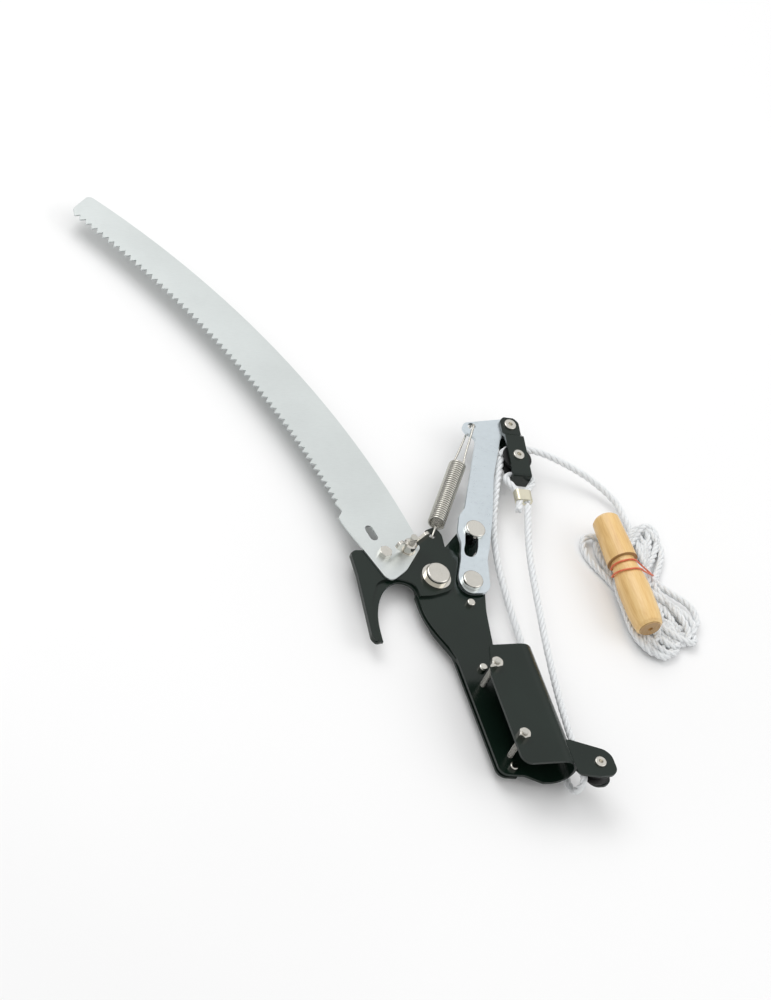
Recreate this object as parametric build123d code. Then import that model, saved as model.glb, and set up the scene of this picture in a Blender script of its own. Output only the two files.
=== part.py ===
"""Rope-operated pruner and saw head for a pole, lying on its back.

The pole's axis is Y, and the pole comes in from -Y. The origin is on that axis
at the socket's mouth. +Z is the front of the pressed plates. Millimetres.
"""
from build123d import *
import math
import os

# ---------------------------------------------------------------- driving sizes
POLE_D = 22.2            # pole that the socket clamps
SOCKET_GAP = 0.1         # all round the pole
PLATE_T = 2.0            # pressed body plate and its clamp channel
BACK_T = 1.6             # plate behind the pruning blade
HOOK_T = 2.2             # hook plate in front of the body plate
BLADE_T = 2.0            # pruning blade
BLADE_GAP = 0.15         # on each side of the pruning blade
SAW_T = 1.2              # saw blade
ARM_T = 2.5              # lever arm
ROPE_D = 5.0             # rope
SOCKET_L = 93.0          # length of the clamp channel
DISH = 2.3               # how far the channel sinks behind the body plate
SHEAVE_D = 21.0          # both rope wheels
SHEAVE_W = 8.0
HANDLE_L = 93.0          # wooden pull handle
RUN_FIT = 0.05           # radial clearance of a turning fit
BOLT_FIT = 0.2           # radial clearance of a bolt in its hole
TOUCH = 0.3              # between parts that pass each other

# Pivots, seen from the front
BLADE_PIVOT = (-29.5, 163.0)
ARM_PIVOT = (-5.2, 157.0)
DRIVE_PIN = (9.0, 196.0)
BLOCK_PIVOT = (67.5, 284.0)
SPRING_LUG = (-18.9, 199.1)
SPRING_EYE = (38.8, 285.0)
LOWER_AXLE = (26.5, -1.0)
BLOCK_LEAN = -9.7        # degrees the pulley block leans from -Y at rest
BLOCK_REACH = 29.0       # block pivot to upper wheel
CLAMP_X = -23.8          # clamp bolts, beside the pole
CLAMP_Y = (21.0, 77.0)
RIVETS = ((-10.3, 141.7), (-19.8, 89.4), (-25.0, 11.6))
SAW_BOLT = (-61.7, 182.6)
WING_BOLT = (-43.8, 185.4)

# ---------------------------------------------------------------- derived sizes
TROUGH_R = POLE_D / 2 + SOCKET_GAP
OUTER_R = TROUGH_R + PLATE_T
FACE = -(TROUGH_R - DISH)                 # front face of the body plate
BODY_BACK = FACE - PLATE_T
BLADE_FRONT = BODY_BACK - BLADE_GAP
BLADE_BACK = BLADE_FRONT - BLADE_T
BACK_FRONT = BLADE_BACK - BLADE_GAP
BACK_BACK = BACK_FRONT - BACK_T
HOOK_FACE = FACE + HOOK_T
SAW_FACE = HOOK_FACE + SAW_T
ARM_LOW = FACE + 1.5                      # under the arm's lower end
ARM_HIGH = FACE + 5.5                     # under the arm's raised part
WHEEL_Z = ARM_HIGH + ARM_T / 2            # mid-plane of the pulley block
NUT_H = 5.0
BASE = BACK_BACK - 1.0 - NUT_H            # surface that the head lies on
ROPE_R = ROPE_D / 2
GROOVE_R = SHEAVE_D / 2 - 3.0             # bottom of a rope wheel's groove
ROPE_PATH_R = GROOVE_R + ROPE_R + TOUCH   # rope's centre line on a wheel


# ---------------------------------------------------------------- helpers
def rounded(corners):
    """A closed outline. Each corner is x, y and the radius that rounds it."""
    arcs = []
    count = len(corners)
    for i, (x, y, radius) in enumerate(corners):
        here = Vector(x, y)
        back = Vector(*corners[i - 1][:2]) - here
        ahead = Vector(*corners[(i + 1) % count][:2]) - here
        half = math.radians(back.get_angle(ahead)) / 2
        run = min(radius / math.tan(half), 0.49 * back.length, 0.49 * ahead.length)
        radius = run * math.tan(half)
        middle = (back.normalized() + ahead.normalized()).normalized()
        crown = here + middle * (radius / math.sin(half) - radius)
        arcs.append((here + back.normalized() * run, crown, here + ahead.normalized() * run))
    edges = []
    for i, (start, crown, end) in enumerate(arcs):
        edges.append(ThreePointArc(start, crown, end))
        edges.append(Line(end, arcs[(i + 1) % count][0]))
    return make_face(Curve() + edges)


def slab(corners, z, thick):
    """A flat plate with rounded corners."""
    return Pos(0, 0, z) * extrude(rounded(corners), thick)


def disc(at, radius, z, height):
    return Pos(at[0], at[1], z) * Cylinder(radius, height, align=(Align.CENTER, Align.CENTER, Align.MIN))


def ring(at, outer, inner, z, height):
    return disc(at, outer, z, height) - disc(at, inner, z - 1, height + 2)


def hexagon(at, flats, z, height, turn=0.0):
    shape = RegularPolygon(flats / math.sqrt(3), 6)
    return Pos(at[0], at[1], z) * Rot(0, 0, turn) * extrude(shape, height)


def domed(at, radius, z, height, rim):
    """A rivet or bolt head with a rounded rim."""
    head = disc(at, radius, z, height)
    return fillet(head.edges().group_by(Axis.Z)[-1], rim)


def block_point(along, side=0.0):
    """A point of the pulley block, from its pivot along its lean."""
    lean = math.radians(BLOCK_LEAN)
    x = BLOCK_PIVOT[0] + along * math.sin(lean) + side * math.cos(lean)
    y = BLOCK_PIVOT[1] - along * math.cos(lean) + side * math.sin(lean)
    return (x, y)


def tube(points, radii, diameter):
    """A rope or wire: straight runs joined by tangent arcs. Its volume should be section times length."""
    path = FilletPolyline(*points, radius=radii)
    section = Plane(origin=path @ 0, z_dir=path % 0) * Circle(diameter / 2)
    solid = sweep(section, path=path)
    even = math.pi * diameter**2 / 4 * path.length
    shown = [round(r, 1) for r in radii]
    print(f"  tube {path.length:.1f} long, arcs {shown}, volume {solid.volume:.1f} of {even:.1f}")
    return solid


def easy_radii(points):
    """The largest arc that each corner of a rope's route has room for."""
    radii = []
    for before, here, after in zip(points, points[1:], points[2:]):
        one = Vector(*here) - Vector(*before)
        two = Vector(*after) - Vector(*here)
        turn = math.radians(one.get_angle(two))
        radii.append(0.45 * min(one.length, two.length) / math.tan(turn / 2))
    return radii


# ---------------------------------------------------------------- body plates
THROAT = [(-84.6, 108), (-83.6, 122), (-81.2, 135), (-76.6, 146), (-67.5, 157.2), (-57, 161.6)]
THROAT += [(-49.2, 158.6), (-46.4, 149.5), (-46.6, 141), (-45.8, 132), (-42.8, 122), (-37.2, 109)]


def throat(edge, z, height):
    """The opening that a branch goes into, cut from a plate."""
    curve = Spline(*[(x, y) for x, y in edge])
    sides = Polyline(edge[-1], (-34.8, 100), (-60, 80), (-84.6, 90), edge[0])
    return Pos(0, 0, z) * extrude(make_face(curve + sides), height)


def channel():
    """The clamp channel: a trough for the pole, with a flange over its front."""
    def touch(x, z, radius):
        angle = math.atan2(z, x) + math.acos(radius / math.hypot(x, z))
        return (radius * math.cos(angle), radius * math.sin(angle))

    dish_x = -21.0
    left = -40.0
    inner = touch(dish_x, FACE, TROUGH_R)
    outer = touch(dish_x, BODY_BACK, OUTER_R)
    edge = Polyline((dish_x - 1, BODY_BACK), (dish_x - 1, FACE), (dish_x, FACE), inner)
    edge += ThreePointArc(inner, (TROUGH_R, 0), (0, TROUGH_R))
    edge += Polyline((0, TROUGH_R), (left, TROUGH_R), (left, OUTER_R), (0, OUTER_R))
    edge += ThreePointArc((0, OUTER_R), (OUTER_R, 0), outer)
    edge += Polyline(outer, (dish_x, BODY_BACK), (dish_x - 1, BODY_BACK))
    bent = extrude(Plane.XZ * make_face(edge), -SOCKET_L)
    top = SOCKET_L + 1
    flange = [(30, -1, 1), (30, top, 1), (-22, top, 3), (-29.6, 68, 6), (-30.4, 0, 8)]
    front = bent & slab(flange, 0, OUTER_R + 1)
    rear = [(30, -1, 1), (30, top, 1), (-12.4, top, 1), (-14, 84, 2), (-23, 84, 1)]
    rear += [(-23, 5.6, 0.5), (-18, 5.4, 6), (-6, 0, 12), (0, -1, 0.5)]
    back = bent & slab(rear, -OUTER_R - 1, OUTER_R + 1)
    return front + back


def body_front_plate():
    outline = [(-35.2, 7.4, 7), (-20.6, 5.4, 0.5), (-20.6, 83.4, 0.5), (-13.2, 83.4, 0.5)]
    outline += [(-11.4, SOCKET_L - 0.6, 1), (-7.6, SOCKET_L - 0.4, 2), (-0.4, 134.7, 60), (4.6, 152, 12)]
    outline += [(5.5, 166, 10), (0, 182, 8), (-12.6, 188.8, 1.5), (-11.4, 199, 3)]
    outline += [(-14, 206.5, 4), (-22.5, 203.5, 4), (-30, 192.5, 4), (-48, 194.5, 6), (-65, 194.5, 6)]
    outline += [(-76, 186.8, 5), (-84.6, 189, 10), (-85.6, 168, 60), (-91.8, 118, 5), (-89.6, 113.6, 3)]
    outline += [(-84.6, 114.6, 2), (-60, 100, 1), (-35, 100, 1)]
    plate = slab(outline, BODY_BACK, PLATE_T) - throat(THROAT, BODY_BACK - 1, PLATE_T + 2)
    plate += channel()
    for at in RIVETS:
        plate -= disc(at, 2.0, BODY_BACK - 1, PLATE_T + 2)
    for y in CLAMP_Y:
        plate -= disc((CLAMP_X, y), CLAMP_R + BOLT_FIT, BODY_BACK - 1, 60)
    plate -= disc(BLADE_PIVOT, PIVOT_R, BODY_BACK - 1, PLATE_T + 2)
    plate -= disc(ARM_PIVOT, ARM_PIN_R, BODY_BACK - 1, PLATE_T + 2)
    plate -= disc(SAW_BOLT, SAW_BOLT_R, BODY_BACK - 1, PLATE_T + 2)
    plate -= disc(WING_BOLT, SAW_BOLT_R, BODY_BACK - 1, PLATE_T + 2)
    plate -= disc(SPRING_LUG, SPRING_HOLE_R, BODY_BACK - 1, PLATE_T + 2)
    return plate


def body_back_plate():
    """The second plate, behind the pruning blade. It stops beside the trough."""
    outline = [(-35.2, 8.2, 7), (-21.6, 6.4, 1), (-21.6, SOCKET_L + 1.5, 3), (-8.6, SOCKET_L + 8, 6)]
    outline += [(-1.2, 134.7, 40), (3.8, 152, 10), (4.6, 164, 8), (-8, 178, 10), (-33, 179, 10)]
    outline += [(-44.5, 170, 8), (-45.6, 140, 30), (-43.6, 122, 30), (-35.2, 103, 20)]
    plate = slab(outline, BACK_BACK, BACK_T)
    for at in RIVETS:
        plate -= disc(at, 2.0, BACK_BACK - 1, BACK_T + 2)
    for y in CLAMP_Y:
        plate -= disc((CLAMP_X, y), CLAMP_R + BOLT_FIT, BACK_BACK - 1, BACK_T + 2)
    plate -= disc(BLADE_PIVOT, PIVOT_R, BACK_BACK - 1, BACK_T + 2)
    plate -= disc(ARM_PIVOT, ARM_PIN_R, BACK_BACK - 1, BACK_T + 2)
    return plate


def hook_plate():
    """The front layer: the hook's outer edge, the saw's seat and the pivot's tongue."""
    outline = [(-85, 187.8, 9), (-85.9, 168, 60), (-92, 118.4, 4), (-89.8, 114.4, 2), (-87.2, 115.6, 2)]
    outline += [(-88.6, 124, 12), (-82.4, 147, 30), (-73, 162.6, 12), (-57, 163.4, 30), (-46.2, 158.8, 12)]
    outline += [(-45.6, 148.4, 1), (-36, 148.4, 20), (-18.5, 152.8, 12), (-15.4, 167, 12), (-32, 177.4, 12)]
    outline += [(-37, 193.5, 6), (-64, 193.5, 5), (-75.5, 187.2, 4)]
    plate = slab(outline, FACE, HOOK_T)
    for at, radius in ((BLADE_PIVOT, PIVOT_R), (SAW_BOLT, SAW_BOLT_R), (WING_BOLT, SAW_BOLT_R)):
        plate -= disc(at, radius, FACE - 1, HOOK_T + 2)
    return plate


def plate_spacers():
    return [ring(at, 3.6, 2.0, BACK_FRONT, BODY_BACK - BACK_FRONT) for at in RIVETS]


def plate_rivets():
    """Short rivets that hold the two plates at the spacers."""
    pins = []
    for at in RIVETS:
        shank = disc(at, 2.0, BACK_BACK, FACE - BACK_BACK)
        front = domed(at, 2.9, FACE, 3.0, 0.9)
        tail = disc(at, 3.2, BACK_BACK - 1.2, 1.2)
        pins.append(shank + front + tail)
    return pins


# ---------------------------------------------------------------- clamp bolts
CLAMP_R = 2.1
CLAMP_NUT = 7.4


def clamp_bolts():
    """Bolts from behind the plates, through the flange, beside the pole."""
    bolts = []
    for y in CLAMP_Y:
        at = (CLAMP_X, y)
        shank = disc(at, CLAMP_R, BACK_BACK, OUTER_R + 5.5 - BACK_BACK)
        bolts.append(shank + domed(at, 5.0, BACK_BACK - 2.8, 2.8, 0.3))
    return bolts


def clamp_nuts():
    nuts = []
    for y in CLAMP_Y:
        at = (CLAMP_X, y)
        nut = hexagon(at, CLAMP_NUT, OUTER_R, 4.0, 12) & domed(at, CLAMP_NUT * 0.56, OUTER_R, 4.0, 0.5)
        nuts.append(nut - disc(at, CLAMP_R, OUTER_R - 1, 6))
    return nuts


# ---------------------------------------------------------------- saw
TOOTH_PITCH = 5.0
TOOTH_DEPTH = 3.4
SAW_BOLT_R = 2.5
TOOTH_LINE = ((-83.6, 226.0), (-126.0, 360.3), (-200.4, 479.0))
SAW_BACK = ((-184.8, 497.0), (-95.6, 377.0), (-34.2, 200.0))


def saw_blade():
    """Curved pruning saw. The teeth are cut into its hollow edge."""
    edge = ThreePointArc(*TOOTH_LINE)
    back = ThreePointArc(*SAW_BACK)
    tip = Polyline(TOOTH_LINE[2], (-199.6, 485.4), SAW_BACK[0])
    heel = [SAW_BACK[2], (-33.6, 186.5), (-50, 168.5), (-65.5, 159)]
    heel += [(-83.6, 208.0), (-85, 214.4), (-80.4, 219.6)]
    rounded = FilletPolyline(*heel, TOOTH_LINE[0], radius=[4, 24, 6, 8, 2, 3])
    blade = Pos(0, 0, HOOK_FACE) * extrude(make_face(edge + tip + back + rounded), SAW_T)
    for corner, radius in ((SAW_BACK[0], 4.5), ((-199.6, 485.4), 2.5)):
        near = [e for e in blade.edges().filter_by(Axis.Z) if math.dist(tuple(e.center())[:2], corner) < 0.5]
        blade = fillet(near, radius)
    count = int(edge.length / TOOTH_PITCH)
    gullets = []
    for i in range(count):
        here = edge @ ((i + 0.5) / count)
        along = edge % ((i + 0.5) / count)
        inward = Vector(along.Y, -along.X)
        root = here + inward * TOOTH_DEPTH
        one = here - along * TOOTH_PITCH * 0.46 - inward * 0.4
        two = here + along * TOOTH_PITCH * 0.46 - inward * 0.4
        gullets.append(make_face(Polyline(one, root, two, close=True)))
    blade -= Pos(0, 0, HOOK_FACE - 1) * extrude(Sketch() + gullets, SAW_T + 2)
    slot = extrude(SlotCenterToCenter(6.6, 6.0), SAW_T + 2)
    slot = Pos(-65.4, 200.3, HOOK_FACE - 1) * Rot(0, 0, 101) * slot
    blade -= slot
    for at in (SAW_BOLT, WING_BOLT):
        blade -= disc(at, SAW_BOLT_R, HOOK_FACE - 1, SAW_T + 2)
    return blade


def saw_bolt():
    shank = disc(SAW_BOLT, SAW_BOLT_R, BODY_BACK - 1.6, SAW_FACE - BODY_BACK + 1.6)
    head = hexagon(SAW_BOLT, 8.0, SAW_FACE, 3.6, 8) & domed(SAW_BOLT, 4.5, SAW_FACE, 3.6, 0.5)
    return shank + head + disc(SAW_BOLT, 4.2, BODY_BACK - 1.2, 1.2)


def wing_bolt():
    """Stud with a flat head behind the body plate."""
    shank = disc(WING_BOLT, SAW_BOLT_R, BODY_BACK - 1.2, SAW_FACE - BODY_BACK + 1.2 + 14)
    return shank + disc(WING_BOLT, 4.8, BODY_BACK - 1.2, 1.2)


def wing_washer():
    return ring(WING_BOLT, 5.4, SAW_BOLT_R + 0.1, SAW_FACE, 1.0)


WING_Z = SAW_FACE + 1.0 + 0.15
WING_TURN = 18.0


def wing_nut():
    boss = disc(WING_BOLT, 4.6, WING_Z, 7.0)
    boss = chamfer(boss.edges().group_by(Axis.Z)[-1], 1.0)
    wing = [(3.2, 0.6, 0.5), (6.5, 0.9, 1.5), (14.2, 7.6, 1.6)]
    wing += [(13.6, 12.6, 2.4), (9.6, 12.4, 2.4), (3.2, 6.0, 0.8)]
    pair = Sketch()
    for side in (1, -1):
        pair += rounded([(side * x, y, r) for x, y, r in wing])
    wings = Pos(0, 1.1, 0) * (Plane.XZ * extrude(pair, 2.2))
    nut = boss + Pos(WING_BOLT[0], WING_BOLT[1], WING_Z) * Rot(0, 0, WING_TURN) * wings
    return nut - disc(WING_BOLT, SAW_BOLT_R + RUN_FIT, WING_Z - 1, 20)


# ---------------------------------------------------------------- pruning blade
PIVOT_R = 4.0
PIN_R = 2.5
BLADE_SWING = 50.0
HUB_R = 13.0
TAIL_HALF = 9.0
BOLT_BAND = 7.5


def about_blade(radius, angle):
    """A point at a radius and an angle in degrees about the blade's pivot."""
    turn = math.radians(angle)
    return (BLADE_PIVOT[0] + radius * math.cos(turn), BLADE_PIVOT[1] + radius * math.sin(turn))


def pruning_blade():
    """Blade, hub and tail in one. The tail passes round the arm's pivot bolt."""
    belly = [(-47.4, 150.5), (-47.6, 141), (-46.6, 131.4), (-43.4, 121.2), (-37.6, 107.6), (-34.2, 94)]
    spine = Polyline(belly[-1], (-31.6, 91.6), (-27.5, 112), (-20, 150), BLADE_PIVOT, (-42, 163), belly[0])
    blade = Pos(0, 0, BLADE_BACK) * extrude(make_face(Spline(*belly) + spine), BLADE_T)
    blade += disc(BLADE_PIVOT, HUB_R, BLADE_BACK, BLADE_T)
    axis = Vector(DRIVE_PIN[0] - BLADE_PIVOT[0], DRIVE_PIN[1] - BLADE_PIVOT[1]).normalized()
    up = Vector(-axis.Y, axis.X) * TAIL_HALF
    hub = Vector(*BLADE_PIVOT)
    end = Vector(*DRIVE_PIN)
    bar = make_face(Polyline(hub + up, end + up, end - up, hub - up, close=True))
    bar = Pos(0, 0, BLADE_BACK) * extrude(bar, BLADE_T)
    bar += disc(DRIVE_PIN, TAIL_HALF, BLADE_BACK, BLADE_T)
    # The bolt crosses this band as the blade swings, so the tail leaves it free
    bolt = math.dist(BLADE_PIVOT, ARM_PIVOT)
    start = math.degrees(math.atan2(ARM_PIVOT[1] - BLADE_PIVOT[1], ARM_PIVOT[0] - BLADE_PIVOT[0]))
    free = start + BLADE_SWING + math.degrees((ARM_PIN_R + 1.0) / bolt)
    band = disc(BLADE_PIVOT, bolt + BOLT_BAND, BLADE_BACK - 1, BLADE_T + 2)
    band -= disc(BLADE_PIVOT, bolt - BOLT_BAND, BLADE_BACK - 2, BLADE_T + 4)
    reach = [about_blade(90, free), about_blade(99, free - 50), about_blade(90, free - 100)]
    wedge = Polyline(BLADE_PIVOT, *reach, close=True)
    blade += bar - (band & Pos(0, 0, BLADE_BACK - 1) * extrude(make_face(wedge), BLADE_T + 2))
    blade -= disc(BLADE_PIVOT, PIVOT_R + RUN_FIT, BLADE_BACK - 1, BLADE_T + 2)
    blade -= disc(DRIVE_PIN, PIN_R, BLADE_BACK - 1, BLADE_T + 2)
    return blade


def drive_pin():
    """Headed pin fixed in the blade's tail. It slides in the arm's slot."""
    top = ARM_HIGH + ARM_T + TOUCH
    shank = disc(DRIVE_PIN, PIN_R, BLADE_BACK, top - BLADE_BACK)
    collar = disc(DRIVE_PIN, 4.6, BLADE_FRONT, ARM_LOW - TOUCH - BLADE_FRONT)
    return shank + collar + domed(DRIVE_PIN, 7.0, top, 3.0, 0.9)


def blade_pivot_bolt():
    seat = HOOK_FACE + 1.5
    shank = disc(BLADE_PIVOT, PIVOT_R, BASE + 0.6, seat - BASE - 0.6)
    return shank + domed(BLADE_PIVOT, 8.4, seat, 4.4, 1.3)


def blade_pivot_washer():
    return ring(BLADE_PIVOT, 10.2, PIVOT_R, HOOK_FACE, 1.5)


def blade_pivot_nut():
    body = hexagon(BLADE_PIVOT, 13.0, BASE, NUT_H, 10) + disc(BLADE_PIVOT, 8.0, BASE + NUT_H, 1.0)
    return body - disc(BLADE_PIVOT, PIVOT_R, BASE - 1, NUT_H + 4)


# ---------------------------------------------------------------- lever arm
ARM_PIN_R = 3.0
SLOT_W = 9.4
SPRING_HOLE_R = 2.4


def arm_frame(along, side):
    """A point of the arm from its pivot towards the drive pin, side to the left."""
    u = Vector(DRIVE_PIN[0] - ARM_PIVOT[0], DRIVE_PIN[1] - ARM_PIVOT[1]).normalized()
    return (ARM_PIVOT[0] + u.X * along - u.Y * side, ARM_PIVOT[1] + u.Y * along + u.X * side)


def lever_arm():
    """Cranked plate: a low foot round the pivot and a raised blade above it."""
    outline = [(31.2, 281.5, 8), (32.6, 288.4, 5), (74.6, 291.6, 7.5), (74.8, 277.5, 7), (58, 275.5, 8)]
    outline += [(40.6, 242, 20), (26.8, 206.5, 30), (14, 178, 25), (6.2, 147.5, 9.5), (-12.6, 147.5, 9.5)]
    outline += [(-14.4, 160, 14), (-4.6, 180, 30), (-3.6, 196, 14)]
    outline += [(2.4, 209.4, 5), (8.8, 215.5, 6), (38.6, 274.8, 4)]
    jog = 26.0
    rise = ARM_HIGH - ARM_LOW
    profile = [(-20, ARM_LOW), (jog - 3, ARM_LOW), (jog + 3, ARM_HIGH), (160, ARM_HIGH)]
    profile += [(160, ARM_HIGH + ARM_T), (jog + 2.2, ARM_HIGH + ARM_T)]
    profile += [(jog - 3.8, ARM_LOW + ARM_T), (-20, ARM_LOW + ARM_T)]
    lean = math.degrees(math.atan2(DRIVE_PIN[1] - ARM_PIVOT[1], DRIVE_PIN[0] - ARM_PIVOT[0]))
    folded = extrude(Plane.XZ * make_face(Polyline(*profile, close=True)), 100, both=True)
    folded = Pos(ARM_PIVOT[0], ARM_PIVOT[1], 0) * Rot(0, 0, lean) * folded
    arm = slab(outline, ARM_LOW - 1, rise + ARM_T + 2) & folded
    near, far, side = 26.0, 41.6, 1.75
    middle = arm_frame((near + far) / 2, side)
    slot = extrude(SlotCenterToCenter(far - near, SLOT_W), 20)
    arm -= Pos(middle[0], middle[1], ARM_LOW - 1) * Rot(0, 0, lean) * slot
    arm -= disc(ARM_PIVOT, ARM_PIN_R + RUN_FIT, ARM_LOW - 1, 20)
    arm -= disc(BLOCK_PIVOT, BLOCK_RIVET_R, ARM_LOW - 1, 20)
    arm -= disc(SPRING_EYE, 3.0, ARM_LOW - 1, 20)
    return arm


def arm_pivot_bolt():
    seat = ARM_LOW + ARM_T + TOUCH / 2
    shank = disc(ARM_PIVOT, ARM_PIN_R, BASE + 1.4, seat - BASE - 1.4)
    return shank + domed(ARM_PIVOT, 7.2, seat, 3.6, 1.1)


def arm_spacer_washer():
    return ring(ARM_PIVOT, 8.0, ARM_PIN_R, FACE, ARM_LOW - FACE - TOUCH / 2)


def arm_pivot_nut():
    body = hexagon(ARM_PIVOT, 10.0, BASE + 1.0, NUT_H, 25)
    return body - disc(ARM_PIVOT, ARM_PIN_R, BASE, NUT_H + 3)


# ---------------------------------------------------------------- pulley block
BLOCK_RIVET_R = 2.5
STRAP_W = 14.0
STRAP_T = 1.8
AXLE_R = 2.5
STRAP_END = BLOCK_REACH + SHEAVE_D / 2 + 5.6 + STRAP_T
STRAP_HALF = SHEAVE_W / 2 + 0.6


def block_plane():
    """Across the strap: local x runs down the block and local y is Z."""
    lean = math.radians(BLOCK_LEAN)
    down = (math.sin(lean), -math.cos(lean), 0)
    across = (-math.cos(lean), -math.sin(lean), 0)
    return Plane(origin=(*BLOCK_PIVOT, WHEEL_Z), x_dir=down, z_dir=across)


def pulley_strap():
    """One strap folded round the wheel, with two ears on the arm's corner."""
    near = ARM_T / 2 + TOUCH / 2
    half = STRAP_HALF
    inner = [(-6.6, near), (8.5, near), (12.5, half), (STRAP_END - STRAP_T, half)]
    outer = [(STRAP_END, half + STRAP_T), (11.7, half + STRAP_T), (7.7, near + STRAP_T), (-6.6, near + STRAP_T)]
    loop = inner + [(x, -z) for x, z in reversed(inner)]
    wrap = [(x, -z) for x, z in reversed(outer)] + outer
    face = make_face(Polyline(*(loop + wrap), close=True))
    plane = block_plane()
    strap = extrude(plane * face, STRAP_W / 2, both=True)
    ears = disc(BLOCK_PIVOT, STRAP_W / 2 + 0.4, WHEEL_Z - 20, 40)
    ears += Pos(*block_point(30), WHEEL_Z) * Rot(0, 0, BLOCK_LEAN) * Box(STRAP_W, 60, 40)
    strap = strap & ears
    bend = strap.edges().filter_by(lambda e: abs(e.length - STRAP_W) < 0.01)
    low = [e for e in bend if math.dist(tuple(e.center())[:2], block_point(STRAP_END)) < 0.2]
    strap = fillet(low, 1.6)
    for at, radius in ((BLOCK_PIVOT, BLOCK_RIVET_R + RUN_FIT), (block_point(BLOCK_REACH), AXLE_R)):
        strap -= disc(at, radius, WHEEL_Z - 20, 40)
    return strap


def rivet(at, shank_r, head_r, low, high):
    """A hollow-headed rivet from one outer face to the other."""
    pin = disc(at, shank_r, low, high - low)
    pin += domed(at, head_r, high, 1.3, 0.6) + disc(at, head_r, low - 1.0, 1.0)
    return pin - disc(at, shank_r * 0.62, high - 1.4, 4)


def block_rivet():
    half = ARM_T / 2 + TOUCH / 2 + STRAP_T
    return rivet(BLOCK_PIVOT, BLOCK_RIVET_R, 4.3, WHEEL_Z - half - TOUCH / 3, WHEEL_Z + half + TOUCH / 3)


def upper_axle():
    half = STRAP_HALF + STRAP_T
    return rivet(block_point(BLOCK_REACH), AXLE_R, 4.0, WHEEL_Z - half, WHEEL_Z + half)


def sheave(at, z):
    """Grooved rope wheel."""
    half = SHEAVE_W / 2
    rim = SHEAVE_D / 2
    bore = AXLE_R + RUN_FIT
    groove = [(bore, -half), (rim, -half), (rim, -half + 0.7), (GROOVE_R, -2.0)]
    groove += [(GROOVE_R, 2.0), (rim, half - 0.7), (rim, half), (bore, half)]
    wheel = revolve(Plane.XZ * make_face(Polyline(*groove, close=True)), Axis.Z)
    return Pos(at[0], at[1], z) * wheel


def upper_sheave():
    return sheave(block_point(BLOCK_REACH), WHEEL_Z)


# ---------------------------------------------------------------- lower bracket
LOWER_Z = FACE + 12.8
LOWER_HALF = SHEAVE_W / 2 + 0.8
BRACKET_T = 2.0


def bracket_plate(z, corner):
    """A cheek that grows from the trough's side and rounds the lower wheel."""
    x, y = LOWER_AXLE
    outline = corner + [(x - 3, y - 10.6, 8), (x + 10.4, y - 10.6, 10.3), (x + 10.4, y + 7.8, 10)]
    outline += [(10.4, y + 18.8, 1.5), (2, y + 18.8, 0.5)]
    cheek = slab(outline, z, BRACKET_T)
    cheek -= Pos(0, 200, 0) * Rot(90, 0, 0) * Cylinder(OUTER_R, 600)
    cheek -= disc(LOWER_AXLE, AXLE_R, z - 1, BRACKET_T + 2)
    return cheek.solids().sort_by(Axis.X)[-1]


def lower_bracket_front():
    return bracket_plate(LOWER_Z + LOWER_HALF, [(2, LOWER_AXLE[1] - 6.5, 0.5)])


def lower_bracket_back():
    """Its inner corner is cut away for the rope."""
    return bracket_plate(LOWER_Z - LOWER_HALF - BRACKET_T, [(2, 3.4, 0.5), (14.9, 3.4, 3)])


def lower_axle():
    half = LOWER_HALF + BRACKET_T
    return rivet(LOWER_AXLE, AXLE_R, 4.0, LOWER_Z - half, LOWER_Z + half)


# ---------------------------------------------------------------- return spring
SPRING_D = 12.0
WIRE_D = 1.8
COIL_START = 12.0
COIL_END = 67.0
EYE_Z = ARM_HIGH + ARM_T / 2


def spring_plane(along):
    """Square to the spring's axis, at a distance from the lug."""
    low = Vector(SPRING_LUG[0], SPRING_LUG[1], FACE - PLATE_T / 2)
    high = Vector(SPRING_EYE[0], SPRING_EYE[1], EYE_Z)
    axis = (high - low).normalized()
    return Plane(origin=low + axis * along, x_dir=(axis.Y, -axis.X, 0), z_dir=axis)


def return_spring():
    """Close-wound coil as a ribbed tube, with its lower hook through the lug."""
    length = COIL_END - COIL_START
    coil = spring_plane(COIL_START) * extrude(Circle(SPRING_D / 2) - Circle(SPRING_D / 2 - WIRE_D), length)
    base = spring_plane(0)
    hook = [(0, -1.6, -2.6), (0, -3.4, -1.0), (0, -3.2, 6.0)]
    hook += [(0, -1.0, COIL_START - 2.0), (0, 4.6, COIL_START + 0.9)]
    hook = [base.from_local_coords(Vector(*p)) for p in hook]
    wire = tube(hook, [1.0, 2.2, 1.5], 1.6)
    return coil + wire


def spring_link():
    """Long wire link from the coil's top, through the eye in the arm."""
    top = math.dist((*SPRING_LUG, FACE - PLATE_T / 2), (*SPRING_EYE, EYE_Z))
    gap = ARM_T / 2 + 1.3
    points = [(0, 4.4, COIL_END + 0.4 - top), (0, gap + 0.2, COIL_END + 5 - top), (0, gap, 0.6)]
    points += [(0, -gap, 0.6), (0, -gap - 0.2, COIL_END + 5 - top), (0, -4.4, COIL_END + 0.4 - top)]
    base = spring_plane(top)
    wire = tube([base.from_local_coords(Vector(*p)) for p in points], [1.5, 1.6, 1.6, 1.5], 1.6)
    cap = extrude(Circle(SPRING_D / 2 - 0.6) - Circle(SPRING_D / 2 - 2.2), 1.6)
    cap = spring_plane(COIL_END + TOUCH) * cap
    return wire + cap


# ---------------------------------------------------------------- rope
CRIMP_FROM = STRAP_END + 9.6
CRIMP_L = 8.6
EYE_SIDE = STRAP_W / 2 + ROPE_R + 0.3


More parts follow.
